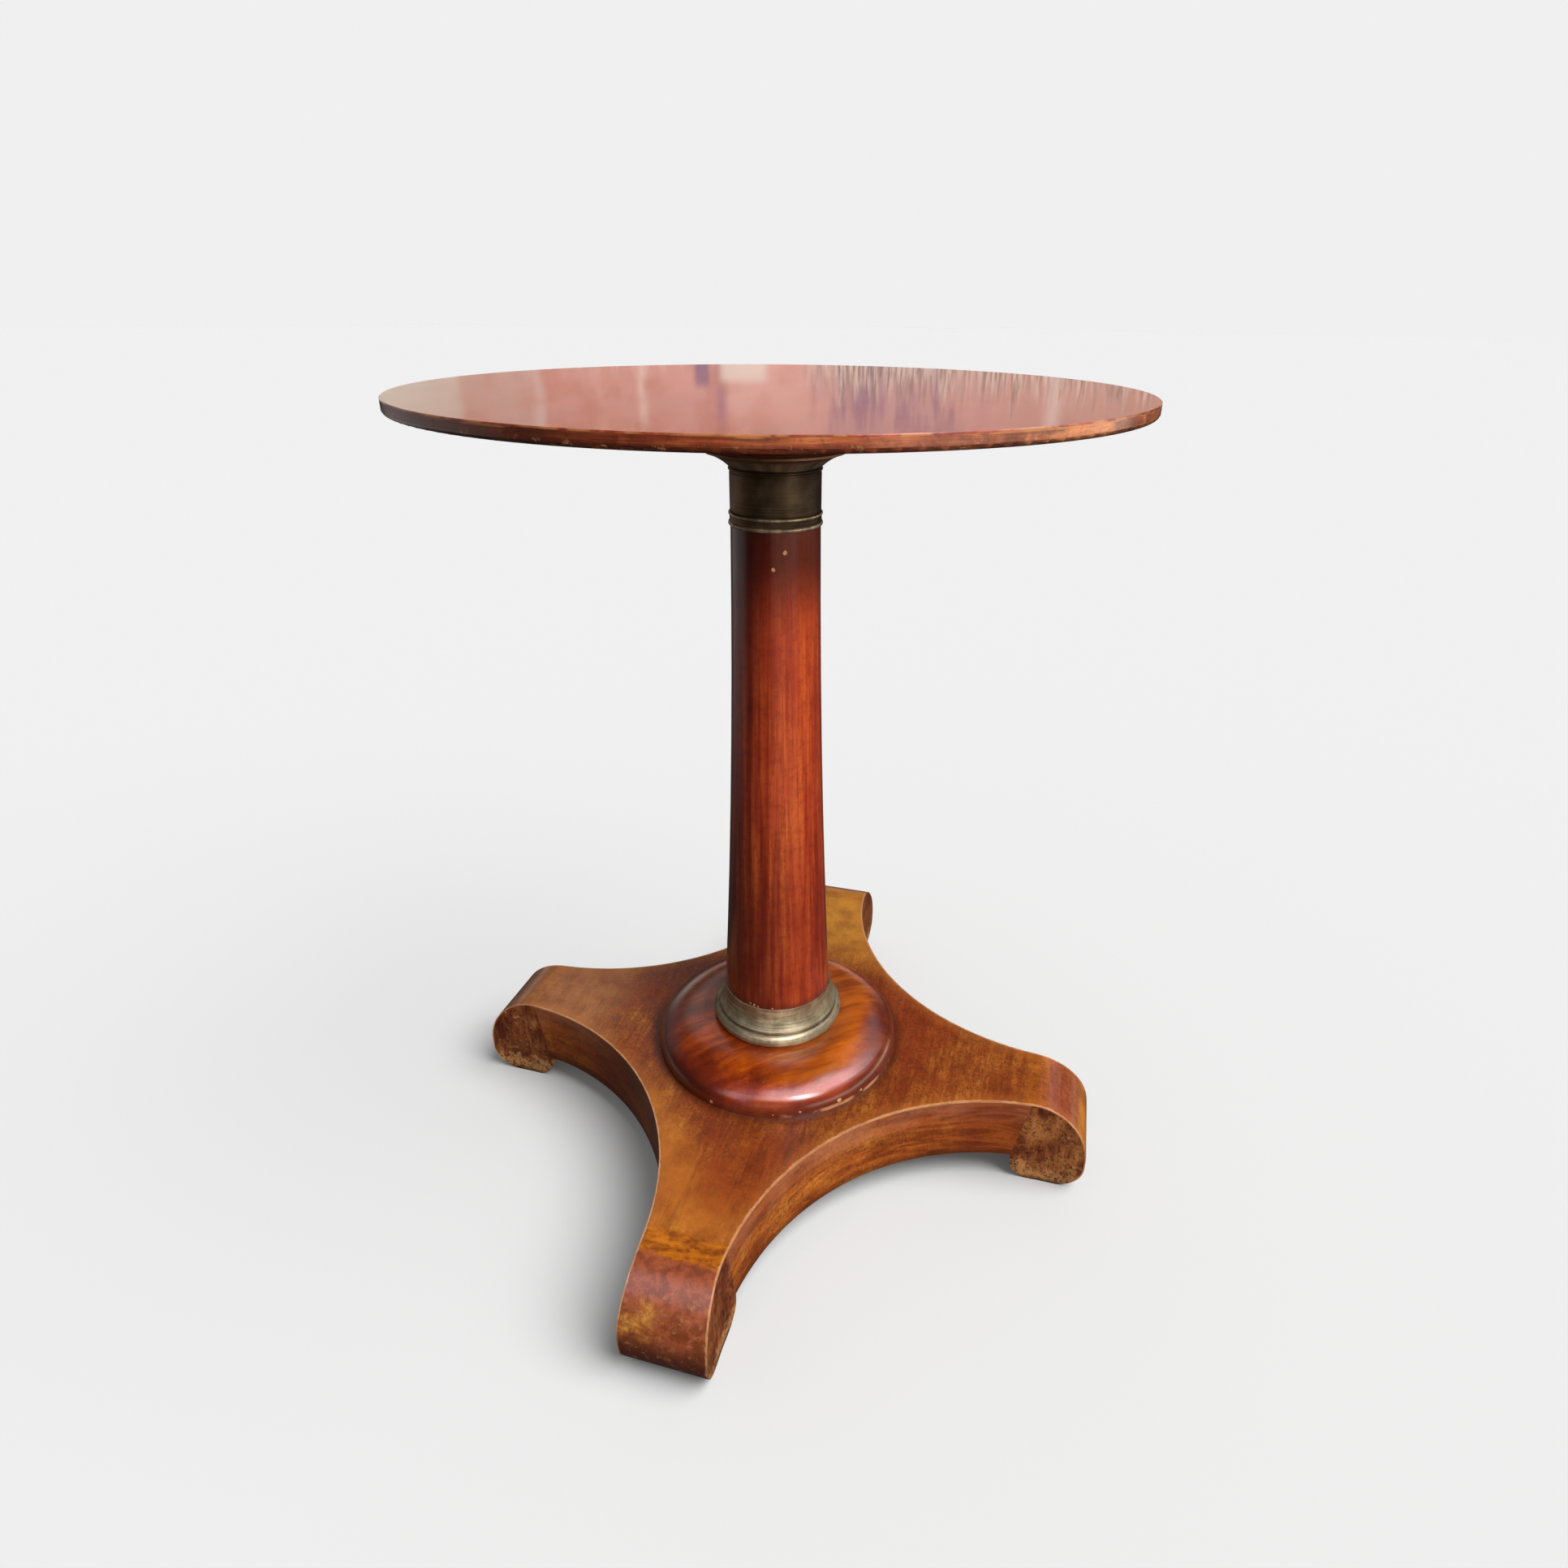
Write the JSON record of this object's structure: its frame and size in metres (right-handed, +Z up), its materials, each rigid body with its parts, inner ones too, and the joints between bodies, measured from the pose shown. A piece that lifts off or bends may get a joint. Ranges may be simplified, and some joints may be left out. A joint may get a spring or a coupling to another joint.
{
  "type": "pedestal side table",
  "caption": "Round side table on a tapering column with brass capital and foot ring, turned cushion and a hollow-sided plinth whose arms roll over into scroll feet.",
  "frame": {"origin": "on the floor, on the axis of the column", "axes": "+Z up along the column; the right foot points along +X and the front foot along -Y"},
  "size_m": [0.628, 0.628, 0.714],
  "materials": {
    "top_mahogany": "glossy French polish",
    "edge_mahogany": "glossy French polish, worn",
    "column_mahogany": "glossy French polish",
    "torus_mahogany": "glossy French polish",
    "plinth_mahogany": "satin, worn polish",
    "side_mahogany": "satin, worn polish",
    "foot_mahogany": "satin, worn polish",
    "block_mahogany": "dull, oiled",
    "carcass_pine": "bare, aged",
    "peg_beech": "bare",
    "capital_brass": "dark patina",
    "ring_brass": "aged, dull",
    "screw_steel": "dull, tarnished"
  },
  "bodies": {
    "root": {"top_veneer": "top_mahogany", "edge_lipping": "edge_mahogany", "column": "column_mahogany", "torus_base": "torus_mahogany", "plinth_veneer": "plinth_mahogany", "top_block": "block_mahogany", "top_core": "carcass_pine", "plinth_upper_board": "carcass_pine", "plinth_lower_board": "carcass_pine", "top_wedge": "peg_beech", "foot_wedge": "peg_beech", "foot_dowels": "peg_beech", "capital": "capital_brass", "base_ring": "ring_brass", "block_screws": "screw_steel", "torus_screws": "screw_steel", "foot_right": "foot_mahogany", "foot_back": "foot_mahogany", "foot_left": "foot_mahogany", "foot_front": "foot_mahogany", "side_veneer_back_right": "side_mahogany", "side_veneer_back_left": "side_mahogany", "side_veneer_front_left": "side_mahogany", "side_veneer_front_right": "side_mahogany"}
  },
  "joints": []
}
